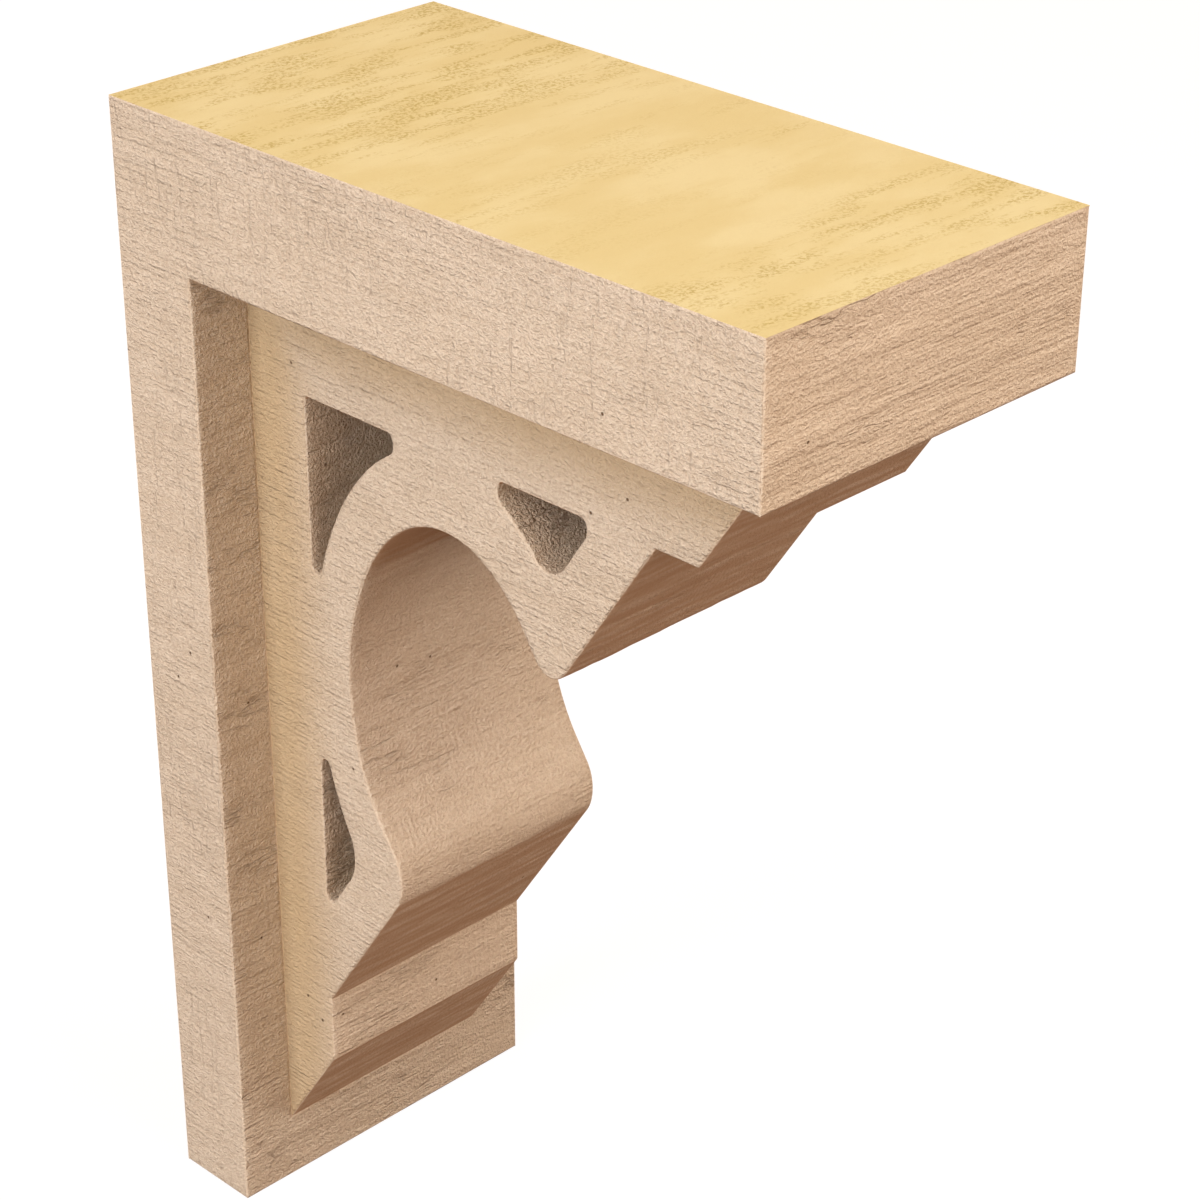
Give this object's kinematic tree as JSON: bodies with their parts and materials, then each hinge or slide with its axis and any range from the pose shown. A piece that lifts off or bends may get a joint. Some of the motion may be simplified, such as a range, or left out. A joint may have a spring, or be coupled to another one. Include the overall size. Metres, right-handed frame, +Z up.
{
  "type": "corbel",
  "caption": "Moulded corbel with a back plate, a top plate and a narrower pierced core with a round notch and three curved windows.",
  "frame": {"origin": "middle of the wall face", "axes": "+Z up, X across the width, the front faces -Y and the wall face looks along +Y"},
  "size_m": [0.2032, 0.4064, 0.6096],
  "materials": {
    "primed_skin": "matte, rough-sawn timber texture, tan primer"
  },
  "bodies": {
    "root": {"corbel": "primed_skin"}
  },
  "joints": []
}
